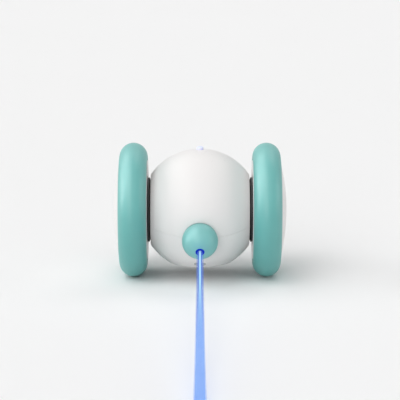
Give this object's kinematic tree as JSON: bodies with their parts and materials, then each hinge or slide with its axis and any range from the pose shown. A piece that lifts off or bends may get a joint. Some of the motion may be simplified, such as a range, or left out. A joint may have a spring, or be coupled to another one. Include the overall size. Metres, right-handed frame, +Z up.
{
  "type": "automatic cat laser toy",
  "caption": "Self-driving cat toy: ball-shaped body carried between two big soft-tyred wheels, with a round nose that holds a laser and a button on top.",
  "frame": {"origin": "on the floor, under the middle of the overall box (wheels and nose)", "axes": "+X along the wheel axle towards the toy's own left wheel, -Y the way the nose points, +Z up"},
  "size_m": [0.0982, 0.0845, 0.076],
  "materials": {
    "teal_silicone": "matte",
    "teal_plastic": "matte",
    "white_plastic": "gloss",
    "dark_grey_plastic": "matte",
    "black_plastic": "matte",
    "ivory_plastic": "matte",
    "gear_nylon": "satin",
    "steel": "satin",
    "screw_steel": "satin",
    "brass": "satin",
    "copper": "satin",
    "lens_glass": "polished",
    "blue_plastic": "gloss",
    "smoked_plastic": "gloss",
    "button_plastic": "gloss",
    "battery_foil": "satin",
    "green_board": "satin"
  },
  "bodies": {
    "body": {"aperture_ring": "blue_plastic", "ballast_weight": "steel", "battery": "battery_foil", "board_components": "black_plastic", "board_screws": "screw_steel", "charging_board": "green_board", "chassis": "black_plastic", "chassis_screws": "screw_steel", "floor_sensor": "black_plastic", "floor_sensor_window": "smoked_plastic", "laser_holder": "black_plastic", "laser_lens": "lens_glass", "laser_module": "brass", "left_axle_bushings": "brass", "left_gearbox_case": "black_plastic", "left_gearbox_cover": "black_plastic", "left_idler_pin": "steel", "left_motor_can": "steel", "left_motor_end_cap": "ivory_plastic", "left_side_boss": "dark_grey_plastic", "lower_shell": "white_plastic", "main_board": "green_board", "motor_terminals": "brass", "nose_shell": "teal_plastic", "power_switch": "black_plastic", "right_axle_bushings": "brass", "right_gearbox_case": "black_plastic", "right_gearbox_cover": "black_plastic", "right_idler_pin": "steel", "right_motor_can": "steel", "right_motor_end_cap": "ivory_plastic", "right_side_boss": "dark_grey_plastic", "shell_screws": "screw_steel", "side_screws": "screw_steel", "upper_shell": "white_plastic", "usb_c_socket": "steel"},
    "left_wheel": {"left_tyre": "teal_silicone", "left_wheel_hub": "white_plastic", "left_hub_cap": "white_plastic", "left_hub_screw": "screw_steel", "left_axle": "steel", "left_output_gear": "gear_nylon"},
    "right_wheel": {"right_tyre": "teal_silicone", "right_wheel_hub": "white_plastic", "right_hub_cap": "white_plastic", "right_hub_screw": "screw_steel", "right_axle": "steel", "right_output_gear": "gear_nylon"},
    "left_idler": {"left_compound_gear": "gear_nylon"},
    "right_idler": {"right_compound_gear": "gear_nylon"},
    "left_rotor": {"left_motor_shaft": "steel", "left_motor_armature": "copper", "left_motor_pinion": "brass"},
    "right_rotor": {"right_motor_shaft": "steel", "right_motor_armature": "copper", "right_motor_pinion": "brass"},
    "button": {"power_button": "button_plastic", "switch_plunger": "ivory_plastic"}
  },
  "joints": [
    {"name": "left_wheel_spin", "type": "hinge", "parent": "body", "child": "left_wheel", "pos_m": [0.0377, 0.00426, 0.038], "axis": [1, 0, 0], "continuous": true},
    {"name": "left_idler_spin", "type": "hinge", "parent": "body", "child": "left_idler", "pos_m": [0.02, 0.01476, 0.0322], "axis": [1, 0, 0], "continuous": true},
    {"name": "left_rotor_spin", "type": "hinge", "parent": "body", "child": "left_rotor", "pos_m": [0.01, 0.00426, 0.0264], "axis": [1, 0, 0], "continuous": true},
    {"name": "right_wheel_spin", "type": "hinge", "parent": "body", "child": "right_wheel", "pos_m": [-0.0377, 0.00426, 0.038], "axis": [1, 0, 0], "continuous": true},
    {"name": "right_idler_spin", "type": "hinge", "parent": "body", "child": "right_idler", "pos_m": [-0.02, 0.01476, 0.0322], "axis": [1, 0, 0], "continuous": true},
    {"name": "right_rotor_spin", "type": "hinge", "parent": "body", "child": "right_rotor", "pos_m": [-0.01, 0.00426, 0.0264], "axis": [1, 0, 0], "continuous": true},
    {"name": "power_button_press", "type": "slide", "parent": "body", "child": "button", "axis": [0, 0, -1], "range_m": [0, 0.0008], "stiffness_N_per_m": 400, "springref_m": -0.001}
  ],
  "couplings": [
    {"joint": "left_idler_spin", "follows": "left_wheel_spin", "ratio": -4},
    {"joint": "left_rotor_spin", "follows": "left_wheel_spin", "ratio": 16},
    {"joint": "right_idler_spin", "follows": "right_wheel_spin", "ratio": -4},
    {"joint": "right_rotor_spin", "follows": "right_wheel_spin", "ratio": 16}
  ]
}
